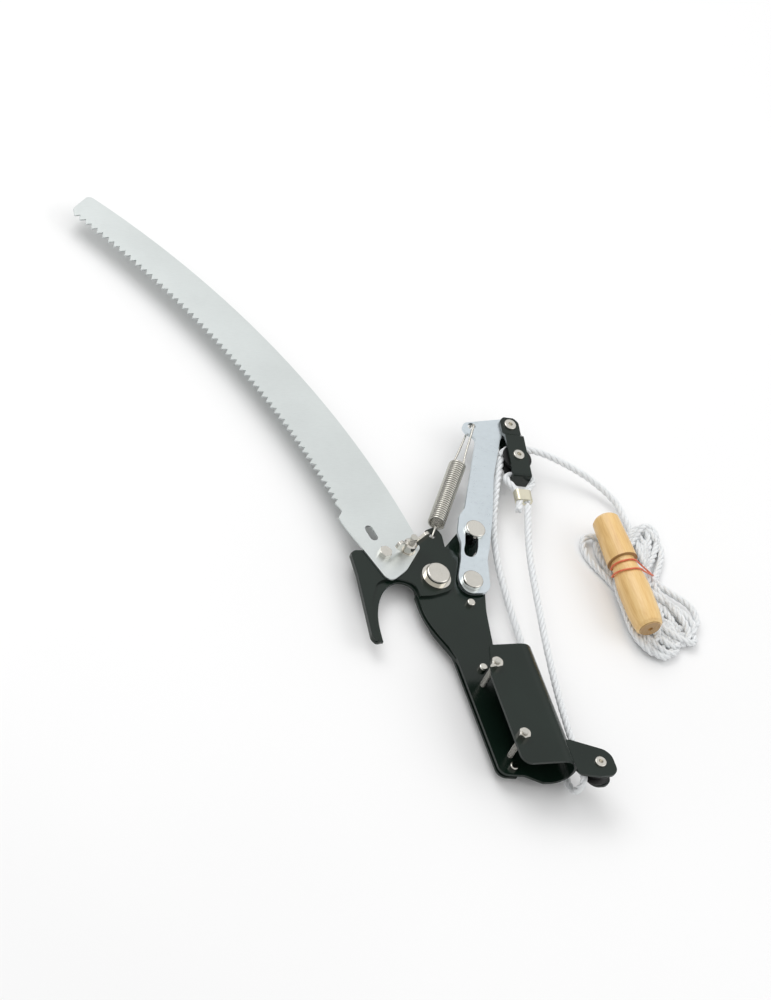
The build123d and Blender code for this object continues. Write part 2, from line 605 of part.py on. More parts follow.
def rope_eye():
    """The rope's dead end: a loop round the strap's bar, and a short cut tail."""
    inside = STRAP_END - STRAP_T - ROPE_R - 0.2
    tail = CRIMP_FROM + CRIMP_L
    half = [(tail + 7.5, 6.6), (tail, 2.7), (CRIMP_FROM - 0.6, 2.8)]
    half += [(STRAP_END + 1.4, EYE_SIDE), (inside, EYE_SIDE)]
    route = [(a, -s) for a, s in half] + [(a, s) for a, s in reversed(half[2:])] + [(tail + 0.4, 2.7)]
    points = [(*block_point(a, s), WHEEL_Z) for a, s in route]
    return tube(points, [10, 5, 3.4, 3.0, 3.0, 3.4, 5], ROPE_D)


def rope_crimp():
    """Flat metal ferrule pressed over the two legs of the rope."""
    block = Box(12.2, CRIMP_L, 6.6)
    block = fillet(block.edges().filter_by(Axis.Y), 2.6)
    return Pos(*block_point(CRIMP_FROM + CRIMP_L / 2), WHEEL_Z) * Rot(0, 0, BLOCK_LEAN) * block


LOWER_X = LOWER_AXLE[0] - ROPE_PATH_R - TOUCH
FALL_TOP = CRIMP_FROM + CRIMP_L + 2.2
ROUTE_FALL = [(*block_point(FALL_TOP, 2.7), WHEEL_Z), (46.5, 186.0, -1.6), (37.5, 146.0, -0.8)]
ROUTE_FALL += [(27.6, 98.0, 0.6), (20.6, 56.0, 2.0), (LOWER_X, 17.0, LOWER_Z), (LOWER_X, -9.0, LOWER_Z)]
ROUTE_FALL += [(15.0, -9.8, -8.5), (15.4, -4.0, -16.2), (16.8, 12.0, BASE + 2.6)]
ROUTE_FALL += [(19.0, 44.0, BASE + 2.5), (21.0, 82.0, BASE + 2.5), (22.6, 118.0, BASE + 3.4)]
ROUTE_FALL += [(23.2, 152.0, -15.2), (25.4, 186.0, -11.4), (36.0, 222.0, -8.6)]


def wheel_tangent(point, leaving):
    """The heading, in degrees, of the rope as it meets or leaves the upper wheel."""
    centre = block_point(BLOCK_REACH)
    step = (point[0] - centre[0], point[1] - centre[1])
    lean = math.degrees(math.asin(ROPE_PATH_R / math.hypot(*step)))
    heading = math.degrees(math.atan2(step[1], step[0]))
    return heading - lean if leaving else heading + 180 + lean


def on_wheel(heading, reach=ROPE_PATH_R):
    """The point of the upper wheel's rope circle where the rope has this heading."""
    centre = block_point(BLOCK_REACH)
    turn = math.radians(heading + 90)
    return (centre[0] + reach * math.cos(turn), centre[1] + reach * math.sin(turn), WHEEL_Z)


def over_wheel(slack):
    """Where the rope meets the wheel, and where its two straight runs would cross above it."""
    meet = wheel_tangent(ROUTE_FALL[-1], False)
    leave = wheel_tangent(ROUTE_LEAD[0], True)
    turn = math.radians((meet - leave) % 360)
    crown = on_wheel((meet + leave) / 2, ROPE_PATH_R / math.cos(turn / 2))
    run = ROPE_PATH_R * math.tan(turn / 2) + slack
    heading = math.radians(meet)
    before = (crown[0] - run * math.cos(heading), crown[1] - run * math.sin(heading), WHEEL_Z)
    return before, crown


def rope_fall():
    """From the crimp to the lower bracket, under the trough and up to the wheel."""
    route = ROUTE_FALL + [over_wheel(1.8)[0]]
    return tube(route, easy_radii(route), ROPE_D)


HANK_T = 8.4
HANK_TOP = BASE + HANK_T
HANDLE_X = 113.2
HANDLE_Y = 109.5
HANDLE_Z = HANK_TOP + TOUCH + 11.0
ROUTE_LEAD = [(84.0, 264.4, -3.2), (102.0, 256.0, -6.0), (121.0, 245.8, -10.4), (134.8, 233.2, -14.6)]
ROUTE_LEAD += [(141.0, 221.6, -16.8), (140.8, 210.8, -17.4)]


def rope_lead():
    """Over the upper wheel and away to the hank."""
    before, crown = over_wheel(1.0)
    route = [before, crown] + ROUTE_LEAD
    return tube(route, [ROPE_PATH_R] + easy_radii([crown] + ROUTE_LEAD), ROPE_D)


BAND_R = 0.7


def band_loop(y_top, y_low, grip, wide):
    """One turn of the band, round the handle's groove. Its ends meet under the hank."""
    low = BASE + BAND_R + 0.05
    left = (HANDLE_X - 14.0 - wide, low + 5)
    right = (HANDLE_X + 34.0 + wide, low + 5)
    reach = grip + BAND_R + 0.1

    def touch(point, side):
        step = (point[0] - HANDLE_X, point[1] - HANDLE_Z)
        return math.atan2(step[1], step[0]) + side * math.acos(reach / math.hypot(*step))

    first, last = touch(right, 1), touch(left, -1) % math.tau
    half = (last - first) / 2
    out = reach / math.cos(half)
    crown = (HANDLE_X + out * math.cos(first + half), HANDLE_Z + out * math.sin(first + half))
    middle = (left[0] + right[0]) / 2
    loop = [(middle + 0.1, low), (right[0] - 2, low), right, crown]
    loop += [left, (left[0] + 2, low), (middle - 0.1, low)]
    points = [(x, y_low + (y_top - y_low) * (z - low) / (crown[1] - low), z) for x, z in loop]
    return tube(points, [1.8, 1.8, reach, 1.8, 1.8], BAND_R * 2)


def rubber_band():
    return [band_loop(161.0, 164.0, 9.2, 0.0), band_loop(152.6, 158.0, 10.6, 1.5)]


def rope_hank():
    """The rope's spare length, gathered flat in one bundle on the ground."""
    outline = [(108, 212, 8), (97.6, 178, 14), (103.4, 158.6, 12), (106.8, 148, 10), (111, 112, 12), (118, 95, 12)]
    outline += [(140, 97, 12), (150, 112, 8), (168.6, 116.6, 12), (168, 138, 14), (148, 164, 10), (147, 172, 8)]
    outline += [(162, 194, 12), (163, 214, 7), (152, 216, 6), (140, 208, 10), (126, 212, 10)]
    bundle = slab(outline, BASE, HANK_T)
    bundle = chamfer(bundle.edges().group_by(Axis.Z)[-1], 2.4)
    gap = [(153.6, 121.0, 3), (160.6, 122.4, 4), (160.4, 136, 4), (154.6, 138, 3)]
    bundle -= slab(gap, BASE - 1, HANK_T + 2)
    for loop in rubber_band():
        bundle -= loop
    return bundle


def pull_handle():
    """Turned wooden handle with a stepped groove for the band."""
    profile = [(0, 0), (7.0, 0), (9.4, 2.6), (10.5, 10), (11, 24), (10.8, 37), (9.6, 46), (8.5, 53.5)]
    crown = [(8.5, 56.5), (10.8, 56.5), (10.7, 62), (9.4, HANDLE_L - 2.0), (7.8, HANDLE_L), (0, HANDLE_L)]
    side = Spline(*profile[2:]) + Line(profile[1], profile[2]) + Line(profile[0], profile[1])
    top = Polyline(profile[-1], *crown)
    face = make_face(side + top + Line(crown[-1], (0, 0)))
    handle = Pos(HANDLE_X, HANDLE_Y, HANDLE_Z) * revolve(face, Axis.Y)
    return handle - Pos(HANDLE_X, HANDLE_Y, HANDLE_Z) * Rot(90, 0, 0) * Cylinder(1.6, 16)


NODES = {
    "body_front_plate": body_front_plate,
    "body_back_plate": body_back_plate,
    "hook_plate": hook_plate,
    "plate_spacers": plate_spacers,
    "plate_rivets": plate_rivets,
    "clamp_bolts": clamp_bolts,
    "clamp_nuts": clamp_nuts,
    "saw_blade": saw_blade,
    "saw_bolt": saw_bolt,
    "wing_bolt": wing_bolt,
    "wing_washer": wing_washer,
    "wing_nut": wing_nut,
    "pruning_blade": pruning_blade,
    "drive_pin": drive_pin,
    "blade_pivot_bolt": blade_pivot_bolt,
    "blade_pivot_washer": blade_pivot_washer,
    "blade_pivot_nut": blade_pivot_nut,
    "lever_arm": lever_arm,
    "arm_pivot_bolt": arm_pivot_bolt,
    "arm_spacer_washer": arm_spacer_washer,
    "arm_pivot_nut": arm_pivot_nut,
    "pulley_strap": pulley_strap,
    "block_rivet": block_rivet,
    "upper_axle": upper_axle,
    "upper_sheave": upper_sheave,
    "lower_bracket_front": lower_bracket_front,
    "lower_bracket_back": lower_bracket_back,
    "lower_axle": lower_axle,
    "lower_sheave": lambda: sheave(LOWER_AXLE, LOWER_Z),
    "return_spring": return_spring,
    "spring_link": spring_link,
    "rope_eye": rope_eye,
    "rope_crimp": rope_crimp,
    "rope_fall": rope_fall,
    "rope_lead": rope_lead,
    "rope_hank": rope_hank,
    "rubber_band": rubber_band,
    "pull_handle": pull_handle,
}


def main():
    os.makedirs("parts", exist_ok=True)
    for name, make in NODES.items():
        shape = make()
        if isinstance(shape, list):
            shape = Compound(children=shape)
        shape.label = name
        export_step(shape, f"parts/{name}.step")
        print(name, round(shape.volume, 1))


if __name__ == "__main__":
    main()
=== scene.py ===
# %% [markdown]
# # A roped pruner and saw head, step by step
#
# This lesson dresses a garden tool that cuts branches from the ground: a black pressed-steel hook, a blade
# that a rope swings shut, a long curved saw, two little rope wheels, and a hank of white rope with a wooden
# pull handle. The exact shapes come first from a measured frame. What Blender adds is everything the frame
# leaves out: laid rope, a wound spring, turned wood, paint, plating and light.

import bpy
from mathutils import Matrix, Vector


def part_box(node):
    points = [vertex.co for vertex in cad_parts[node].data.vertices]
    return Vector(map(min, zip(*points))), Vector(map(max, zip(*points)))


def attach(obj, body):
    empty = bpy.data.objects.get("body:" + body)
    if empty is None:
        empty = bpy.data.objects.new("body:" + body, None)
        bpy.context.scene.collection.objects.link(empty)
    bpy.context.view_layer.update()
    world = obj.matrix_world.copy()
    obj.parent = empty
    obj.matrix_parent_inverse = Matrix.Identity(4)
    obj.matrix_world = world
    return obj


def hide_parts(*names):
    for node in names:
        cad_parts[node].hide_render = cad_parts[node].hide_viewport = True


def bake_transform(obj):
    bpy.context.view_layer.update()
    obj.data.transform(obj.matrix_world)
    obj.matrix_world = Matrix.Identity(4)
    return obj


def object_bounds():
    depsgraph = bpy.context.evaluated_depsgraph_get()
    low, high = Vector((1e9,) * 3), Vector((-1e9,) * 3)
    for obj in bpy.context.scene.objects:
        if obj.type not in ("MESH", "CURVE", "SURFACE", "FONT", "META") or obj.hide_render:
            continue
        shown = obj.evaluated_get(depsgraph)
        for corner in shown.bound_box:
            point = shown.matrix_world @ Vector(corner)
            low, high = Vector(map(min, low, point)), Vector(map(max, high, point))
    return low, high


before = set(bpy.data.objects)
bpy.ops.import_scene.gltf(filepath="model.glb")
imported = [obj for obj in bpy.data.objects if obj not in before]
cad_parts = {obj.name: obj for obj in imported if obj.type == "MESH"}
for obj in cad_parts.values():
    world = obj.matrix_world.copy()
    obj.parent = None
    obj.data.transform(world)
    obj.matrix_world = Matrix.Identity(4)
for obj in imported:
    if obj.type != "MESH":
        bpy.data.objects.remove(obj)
cad_box = [list(corner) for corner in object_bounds()]

import math

import bmesh
import bpy
from mathutils import Matrix, Vector

MM = 0.001
print("nodes", len(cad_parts), "box", [[round(x, 4) for x in corner] for corner in cad_box])

# %% [markdown]
# ## Camera
#
# The tool lies on its back and is seen from high up, from beyond its lower left corner, through a long lens.
# A camera is set by three arrows: right, up and back. Writing them as the columns of a matrix leaves no
# guesswork about the tilt.

# %% Camera
TARGET = Vector((-43.5, 229.9, -8.9)) * MM
DISTANCE = 2.680
LENS = 144                  # millimetres, on Blender's usual sensor
CLIP_END = 50
RIGHT = Vector((0.8857, -0.3008, 0.3536))
BACK = Vector((-0.4637, -0.5338, 0.7071))


def set_camera():
    back = BACK.normalized()
    right = (RIGHT - back * RIGHT.dot(back)).normalized()
    up = back.cross(right)
    camera = bpy.data.objects.new("camera", bpy.data.cameras.new("camera"))
    bpy.context.scene.collection.objects.link(camera)
    turn = Matrix((right, up, back)).transposed().to_4x4()
    camera.matrix_world = Matrix.Translation(TARGET + back * DISTANCE) @ turn
    camera.data.lens = LENS
    camera.data.clip_end = CLIP_END
    bpy.context.scene.camera = camera
    return camera


camera = set_camera()
print("camera at", [round(x, 3) for x in camera.matrix_world.translation])

# %% [markdown]
# ## Small helpers
#
# A cord's centre line is a NURBS curve through a short list of route points. Blender can turn any curve into
# a mesh, so one helper makes the curve and another reads evenly spaced points from it. Strands, coils and
# wires are then wound round those points.

# %% Curves and centre lines
CURVE_STEPS = 24            # points made between two points of a route


def link(obj):
    bpy.context.scene.collection.objects.link(obj)
    return obj


def nurbs(name, route):
    """A smooth open curve. Its order and its end points are set once the points are in."""
    curve = bpy.data.curves.new(name, "CURVE")
    curve.dimensions = "3D"
    spline = curve.splines.new("NURBS")
    spline.points.add(len(route) - 1)
    for point, place in zip(spline.points, route):
        point.co = (*place, 1)
    spline.order_u = 3
    spline.use_endpoint_u = True
    spline.resolution_u = CURVE_STEPS
    return link(bpy.data.objects.new(name, curve))


def spread(points, step):
    """Points a steady step apart along a line of points."""
    lengths = [0.0]
    for one, two in zip(points, points[1:]):
        lengths.append(lengths[-1] + (two - one).length)
    count = max(2, round(lengths[-1] / step))
    made, at = [], 0
    for i in range(count + 1):
        want = lengths[-1] * i / count
        while at < len(lengths) - 2 and lengths[at + 1] < want:
            at += 1
        share = (want - lengths[at]) / max(lengths[at + 1] - lengths[at], 1e-9)
        made.append(points[at].lerp(points[at + 1], min(share, 1.0)))
    return made


def centre_line(route, step):
    """Evenly spaced points on the smooth curve of a route."""
    guide = nurbs("guide", route)
    mesh = bpy.data.meshes.new_from_object(guide)
    points = [v.co.copy() for v in mesh.vertices]
    bpy.data.meshes.remove(mesh)
    bpy.data.objects.remove(guide)
    return spread(points, step)


def line_length(points):
    return sum((b - a).length for a, b in zip(points, points[1:]))


print("curve helpers ready")

# %% [markdown]
# ## Turning frames along a line
#
# To wind strands round a line, each point needs two arrows square to the line that don't spin on their own.
# Carrying the first arrow along, and only tilting it as the line tilts, keeps the twist even.

# %% Frames along a line
def line_frames(points):
    """Each point with two arrows that are square to the line there."""
    frames = []
    side = None
    for i, here in enumerate(points):
        ahead = points[min(i + 1, len(points) - 1)] - points[max(i - 1, 0)]
        along = ahead.normalized()
        if side is None:
            side = along.orthogonal().normalized()
        side = (side - along * side.dot(along)).normalized()
        frames.append((here, side, along.cross(side)))
    return frames


def tube_mesh(name, lines, sides, radius, closed=False):
    """One mesh of tubes, each bridged ring by ring, with flat ends unless they are closed."""
    shape = bmesh.new()
    for points in lines:
        rings = []
        for here, side, up in line_frames(points):
            rim = []
            for k in range(sides):
                turn = math.tau * k / sides
                rim.append(shape.verts.new(here + (side * math.cos(turn) + up * math.sin(turn)) * radius))
            rings.append(rim)
        pairs = list(zip(rings, rings[1:])) + ([(rings[-1], rings[0])] if closed else [])
        for one, two in pairs:
            for k in range(sides):
                shape.faces.new((one[k], one[(k + 1) % sides], two[(k + 1) % sides], two[k]))
        if not closed:
            shape.faces.new(list(reversed(rings[0])))
            shape.faces.new(rings[-1])
    bmesh.ops.recalc_face_normals(shape, faces=shape.faces)
    mesh = bpy.data.meshes.new(name)
    shape.to_mesh(mesh)
    shape.free()
    mesh.shade_smooth()
    return link(bpy.data.objects.new(name, mesh))


print("frames ready")

# %% [markdown]
# ## Laid rope
#
# The rope is three thick strands laid round each other, each a bundle of fine yarns. The strands are real
# geometry, three tubes that overlap a little at the middle; the yarns are left to the material. A cord like
# this is limp, so its route has small waves and easy bends.

# %% Laid rope
ROPE_D = 5.0 * MM
LAY = 3.1 * ROPE_D          # length of one full turn of a strand
STRANDS = 3
STRAND_REACH = ROPE_D * 0.235
STRAND_R = ROPE_D * 0.268
STRAND_SIDES = 8
RING_V = 0.12               # how far the UV map moves along for each ring


def laid_strands(points, start):
    """The centre lines of three strands round a line of points."""
    lines = [[] for _ in range(STRANDS)]
    run = 0.0
    frames = line_frames(points)
    for i, (here, side, up) in enumerate(frames):
        if i:
            run += (here - frames[i - 1][0]).length
        for k in range(STRANDS):
            turn = start + math.tau * (run / LAY + k / STRANDS)
            lines[k].append(here + (side * math.cos(turn) + up * math.sin(turn)) * STRAND_REACH)
    return lines


def rope_uv(obj, sides, counts):
    """A UV map with U round each strand and V along it, so that yarns can follow the lay."""
    layer = obj.data.uv_layers.new(name="UVMap")
    for face in obj.data.polygons:
        for loop in face.loop_indices:
            index = obj.data.loops[loop].vertex_index
            strand = 0
            while strand < len(counts) - 1 and index >= counts[strand] * sides:
                index -= counts[strand] * sides
                strand += 1
            ring, around = divmod(index, sides)
            layer.data[loop].uv = (around / sides, ring * RING_V)


def rope_piece(name, points, start=0.0):
    """Laid rope on a line of points. The start, in radians, turns the strands at its first end."""
    lines = laid_strands(points, start)
    obj = tube_mesh(name, lines, STRAND_SIDES, STRAND_R)
    rope_uv(obj, STRAND_SIDES, [len(line) for line in lines])
    return obj


print("rope helpers ready")

# %% [markdown]
# ## The rope's working length
#
# From its crimped eye under the pulley block the rope runs down to the lower wheel, turns under the clamp
# socket, and climbs behind the lever to the block's wheel. It crosses from the fixed head to the moving
# block.

# %% Rope from the crimp to the wheel
FALL_ROUTE = [Vector(p) * MM for p in (
    (58.8, 217.2, -2.15), (46.5, 186.0, -1.6), (37.5, 146.0, -0.8), (27.6, 98.0, 0.6), (20.6, 56.0, 2.0),
    (16.2, 17.0, 3.9), (16.2, -9.0, 3.9), (15.0, -9.8, -8.5), (15.4, -4.0, -16.2), (16.8, 12.0, -18.2),
    (19.0, 44.0, -18.2), (21.0, 82.0, -18.2), (22.6, 118.0, -17.4), (23.2, 152.0, -15.2),
    (25.4, 186.0, -11.4), (36.0, 222.0, -8.6), (52.4, 258.0, -2.15),
)]
ROPE_STEP = 1.2 * MM
fall_line = centre_line(FALL_ROUTE, ROPE_STEP)
rope_fall = rope_piece("rope_working_length", fall_line)
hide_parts("rope_fall")
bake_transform(rope_fall)
line_length(fall_line)
print("working length", round(line_length(fall_line), 3), "m")

# %% [markdown]
# ## The dead end
#
# One end of the rope is folded round the bar of the pulley block's strap and crimped back on itself. A short
# cut tail sticks out of the crimp.

# %% Rope eye
EYE_ROUTE = [Vector(p) * MM for p in (
    (49.6, 212.4, -2.15), (53.9, 220.3, -2.15), (55.3, 229.4, -2.15), (49.7, 237.9, -2.15),
    (50.7, 243.9, -2.15), (70.0, 240.5, -2.15), (69.0, 234.7, -2.15), (60.8, 228.4, -2.15),
    (59.1, 219.0, -2.15),
)]
EYE_STEP = 0.8 * MM
eye_line = centre_line(EYE_ROUTE, EYE_STEP)
rope_eye = rope_piece("rope_eye_loop", eye_line, start=0.6)
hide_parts("rope_eye")
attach(rope_eye, "block")
line_length(eye_line)
print("eye", round(line_length(eye_line), 3), "m")

# %% [markdown]
# ## The lead and the hank
#
# Over the wheel the rope leaves to the right, sinks to the ground and runs into a hank: long flat turns,
# gathered at the waist under the handle and fanning out at both ends. The turns are points of the same
# spline, worked out by a loop. Each one points its own way at both ends, so that they fan.

# %% Lead and hank route
LEAD_ROUTE = [Vector(p) * MM for p in (
    (53.0, 259.0, -2.15), (54.3, 261.9, -2.15), (58.6, 265.2, -2.15), (64.0, 265.9, -2.2),
    (84.0, 264.4, -3.2), (102.0, 256.0, -6.0), (121.0, 245.8, -10.4), (134.8, 233.2, -14.6),
    (141.0, 221.6, -16.6),
)]
FLOOR_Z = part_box("rope_hank")[0].z
LOW = FLOOR_Z + ROPE_D / 2
LAYER = 0.0034              # from the strands on the floor up to those that lie over them
HIGH = LOW + LAYER
WAIST = Vector((127, 154))
# Each turn: where the lower loop points, in degrees, its length and its width, then the upper loop's
TURNS = (
    (-97, 56, 15, 61, 58, 17), (-66, 52, 13, 103, 50, 11), (-91, 59, 17, 70, 50, 13),
    (-54, 50, 12, 97, 54, 12), (-84, 57, 16, 64, 56, 10), (-44, 49, 14, 118, 52, 12),
    (-77, 52, 14, 77, 48, 14), (-101, 49, 12, 108, 42, 10), (-60, 55, 12, 59, 61, 12),
)
NEAR_WAIST, NEAR_TIP = 0.30, 0.66       # shares of the way along a loop
BLUNT = 0.42                # how far back from the tip a loop is widest, as a share of its width


def lobe(enter, leave, angle, reach, width, going, coming):
    """Seven points out from one side of the waist, round a tip and back to the other side."""
    heading = math.radians(angle)
    out = Vector((math.cos(heading), math.sin(heading)))
    wide = Vector((-out.y, out.x)) * width / 2
    if (enter - leave).dot(wide) < 0:
        wide = -wide
    tip = WAIST + out * reach
    back = out * width * BLUNT
    flat = [enter.lerp(tip + wide, NEAR_WAIST) + wide * 0.1, enter.lerp(tip + wide, NEAR_TIP) + wide * 0.5,
            tip - back + wide * 1.1, tip, tip - back - wide * 1.1,
            leave.lerp(tip - wide, NEAR_TIP) - wide * 0.5, leave.lerp(tip - wide, NEAR_WAIST) - wide * 0.1]
    heights = [going, going, going, (going + coming) / 2, coming, coming, coming]
    return [Vector((x * MM, y * MM, z)) for (x, y), z in zip(flat, heights)]


def hank_points():
    """Sixteen points for each turn. The strands are spread across the waist, in two layers."""
    made = []
    for i, (low_angle, low_reach, low_width, top_angle, top_reach, top_width) in enumerate(TURNS):
        right = WAIST + Vector((15.5 - 3.4 * (i % 5), 1.5 * (i % 3)))
        left = WAIST + Vector((-17.0 + 3.6 * (i % 4), 2.0 - 1.5 * (i % 3)))
        level, other = (LOW, HIGH) if i % 2 == 0 else (HIGH, LOW)
        made.append(Vector((right.x * MM, right.y * MM, level)))
        made += lobe(right, left, low_angle, low_reach, low_width, level, other)
        made.append(Vector((left.x * MM, left.y * MM, other)))
        made += lobe(left, right, top_angle, top_reach, top_width, other, level)
    return made


HANK_STEP = 1.5 * MM
run_line = centre_line(LEAD_ROUTE + hank_points(), HANK_STEP)
rope_run = rope_piece("rope_lead_and_hank", run_line, start=0.3)
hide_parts("rope_lead", "rope_hank")
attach(rope_run, "block")
line_length(run_line)
print("lead and hank", round(line_length(run_line), 3), "m,", len(rope_run.data.polygons), "faces")

# %% [markdown]
# ## The return spring
#
# A close-wound steel coil pulls the lever back. Its lower end is a hook through the lug of the body plate,
# and its upper end is joined to the lever by a long wire link with two legs. The coil is one wire: a helix
# that a loop works out, with a hook bent up across its lower end.

# %% Spring frame
SPRING_LOW = Vector((-18.9, 199.1, -9.9)) * MM
SPRING_HIGH = Vector((38.8, 285.0, -2.15)) * MM
AXIS = (SPRING_HIGH - SPRING_LOW).normalized()
ACROSS = Vector((AXIS.y, -AXIS.x, 0)).normalized()
OUT = AXIS.cross(ACROSS)
SPRING_LEN = (SPRING_HIGH - SPRING_LOW).length
COIL_FROM, COIL_TO = 12.0 * MM, 67.0 * MM
COIL_R = 5.3 * MM
WIRE_R = 0.74 * MM
WINDINGS = 30
COIL_STEPS = 22             # points for each winding
LINK_R = 0.8 * MM
WIRE_STEP = 0.5 * MM


def on_spring(across, out, along):
    return SPRING_LOW + ACROSS * across + OUT * out + AXIS * along


print("spring", round(SPRING_LEN * 1000, 1), "mm between its ends")

# %% Coil and hook
def coil_line():
    points = []
    for i in range(WINDINGS * COIL_STEPS + 1):
        turn = math.tau * i / COIL_STEPS
        along = COIL_FROM + (COIL_TO - COIL_FROM) * i / (WINDINGS * COIL_STEPS)
        points.append(on_spring(COIL_R * math.cos(turn), COIL_R * math.sin(turn), along))
    return points


HOOK = ((0, 2.4, -0.2), (0, 2.0, -1.6), (0, -0.6, -2.6), (0, -2.6, -1.2), (0, -3.2, 3.0), (0, -2.6, 8.0),
        (0, 0.6, 12.0), (0, 3.8, 12.2), (3.0, 4.4, 12.4), (5.1, 1.4, 12.6))
hook_line = centre_line([on_spring(x * MM, y * MM, z * MM) for x, y, z in HOOK], WIRE_STEP)
spring_coil = tube_mesh("spring_coil", [coil_line(), hook_line], 8, WIRE_R)
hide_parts("return_spring")
on_spring(0, 0, COIL_FROM)
on_spring(0, 0, COIL_TO)
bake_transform(spring_coil)
print("coil faces", len(spring_coil.data.polygons))

# %% Wire link from the coil to the lever
def link_route():
    """Up from the coil's last turn, through the lever's eye and back down."""
    low, high = COIL_TO / MM, SPRING_LEN / MM
    legs = []
    for side in (1, -1):
        legs.append([(-side * 3.6, side * 3.0, low - 3.0), (-side * 3.6, side * 3.0, low + 1.0),
                     (-side * 2.4, side * 2.6, low + 5.5), (-side * 1.2, side * 2.5, high - 3.5)])
    over = [(-0.9, 2.5, high + 1.6), (0, 0.0, high + 2.4), (0.9, -2.5, high + 1.6)]
    return [on_spring(x * MM, y * MM, z * MM) for x, y, z in legs[0] + over + legs[1][::-1]]


link_line = centre_line(link_route(), WIRE_STEP)
spring_link = tube_mesh("spring_wire_link", [link_line], 10, LINK_R)
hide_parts("spring_link")
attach(spring_link, "link")
print("link", round(line_length(link_line) * 1000), "mm of wire")

# %% [markdown]
# ## The band
#
# A red elastic band is wound over the handle's groove and under the hank. Each turn is a thin round cord, so
# a tube round a closed path is all it needs, pulled tight over the wood and slack where it meets the rope.

# %% Band turns
BAND_R = 0.62 * MM
BAND_STEP = 0.9 * MM
HANDLE_X, HANDLE_Z = 113.2 * MM, -1.1 * MM      # the handle's axis


def band_turn(y_top, y_side, grip, reach_right):
    """A closed loop of points: over the handle, under its left side, and out to the hank's right edge."""
    reach = grip + BAND_R
    points = []
    for angle in range(40, 201, 10):
        turn = math.radians(angle)
        share = max(0.0, (angle - 110) / 110)
        y = y_top + (y_side - y_top) * share * 0.4
        at = (HANDLE_X + reach * math.cos(turn), y, HANDLE_Z + reach * math.sin(turn))
        points.append(Vector(at))
    right = Vector((HANDLE_X + reach_right, y_side, LOW + 0.6 * MM))
    points.append(Vector((HANDLE_X + 6 * MM, y_side - 1 * MM, FLOOR_Z + 6.6 * MM)))
    points.append(right + Vector((-3.2, -0.8, -0.7)) * MM)
    points.append(right + Vector((-0.6, -0.4, -0.5)) * MM)
    points.append(right + Vector((-0.8, 0.5, 0.7)) * MM)
    return spread(points + [points[0]], BAND_STEP)[:-1]


band_lines = [
    band_turn(161.0 * MM, 166.0 * MM, 9.0 * MM, 31.0 * MM),
    band_turn(152.6 * MM, 164.6 * MM, 10.3 * MM, 32.2 * MM),
]
bands = tube_mesh("band_turns", band_lines, 8, BAND_R, closed=True)
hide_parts("rubber_band")
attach(bands, "block")
print("band turns", len(bands.data.polygons), "faces")

# %% [markdown]
# ## Shader maths
#
# Node trees are quick to read when maths looks like maths. A small class wraps one socket and gives it the
# usual operators; one method makes any other node.

# %% A socket that does sums
class Wire:
    def __init__(self, tree, socket):
        self.tree, self.socket = tree, socket

    def math(self, operation, *values):
        node = self.tree.nodes.new("ShaderNodeMath")
        node.operation = operation
        for slot, value in zip(node.inputs, (self, *values)):
            if isinstance(value, Wire):
                self.tree.links.new(value.socket, slot)
            else:
                slot.default_value = value
        return Wire(self.tree, node.outputs[0])

    def __add__(self, other):
        return self.math("ADD", other)

    def __sub__(self, other):
        return self.math("SUBTRACT", other)

    def __mul__(self, other):
        return self.math("MULTIPLY", other)

    def __rsub__(self, other):
        return (self * -1.0) + other

    __radd__ = __add__
    __rmul__ = __mul__


class Finish:
    """One material: a Principled shader and the nodes that feed it."""

    def __init__(self, name, **constants):
        self.material = bpy.data.materials.new(name)
        self.material.use_nodes = True
        self.tree = self.material.node_tree
        self.shader = self.tree.nodes["Principled BSDF"]
        for key, value in constants.items():
            self.shader.inputs[key.replace("_", " ")].default_value = value

    def node(self, kind, settings=None, out=0, **values):
        made = self.tree.nodes.new("ShaderNode" + kind)
        for key, value in (settings or {}).items():
            if key == "stops":
                ramp = made.color_ramp
                while len(ramp.elements) < len(value):
                    ramp.elements.new(0.5)
                for stop, (place, colour) in zip(ramp.elements, value):
                    stop.position, stop.color = place, (*colour[:3], 1)
            else:
                setattr(made, key, value)
        for key, value in values.items():
            slot = made.inputs[int(key[1:]) if key[1:].isdigit() else key.replace("_", " ")]
            if isinstance(value, Wire):
                self.tree.links.new(value.socket, slot)
            else:
                slot.default_value = value
        return Wire(self.tree, made.outputs[out])

    def place(self, scale=(1, 1, 1), turn=(0, 0, 0), shift=(0, 0, 0), source="Object"):
        coords = self.node("TexCoord", out=source)
        return self.node("Mapping", Vector=coords, Location=shift, Rotation=turn, Scale=scale)

    def noise(self, where, scale, detail=3.0, rough=0.5):
        return self.node("TexNoise", Vector=where, Scale=scale, Detail=detail, Roughness=rough)

    def ramp(self, factor, *stops):
        return self.node("ValToRGB", {"stops": stops}, Fac=factor)

    def blend(self, factor, one, two, mode="MIX"):
        return self.node("MixRGB", {"blend_type": mode}, Fac=factor, Color1=one, Color2=two)

    def bump(self, height, strength, distance):
        self.feed("Normal", self.node("Bump", Height=height, Strength=strength, Distance=distance))

    def feed(self, name, wire):
        self.tree.links.new(wire.socket, self.shader.inputs[name])


def rgb(red, green, blue):
    """An 8-bit screen colour as the linear values that a shader takes."""
    def linear(c):
        c /= 255
        return c / 12.92 if c <= 0.04045 else ((c + 0.055) / 1.055) ** 2.4
    return (linear(red), linear(green), linear(blue), 1)


print("shader helpers ready")

# %% [markdown]
# ## Black enamel
#
# The pressed plates are dipped in thick glossy enamel. It is nearly black with a hint of green, flows into a
# faint orange peel, and mirrors the room softly. Coarse noise gives the tint and fine noise the peel.

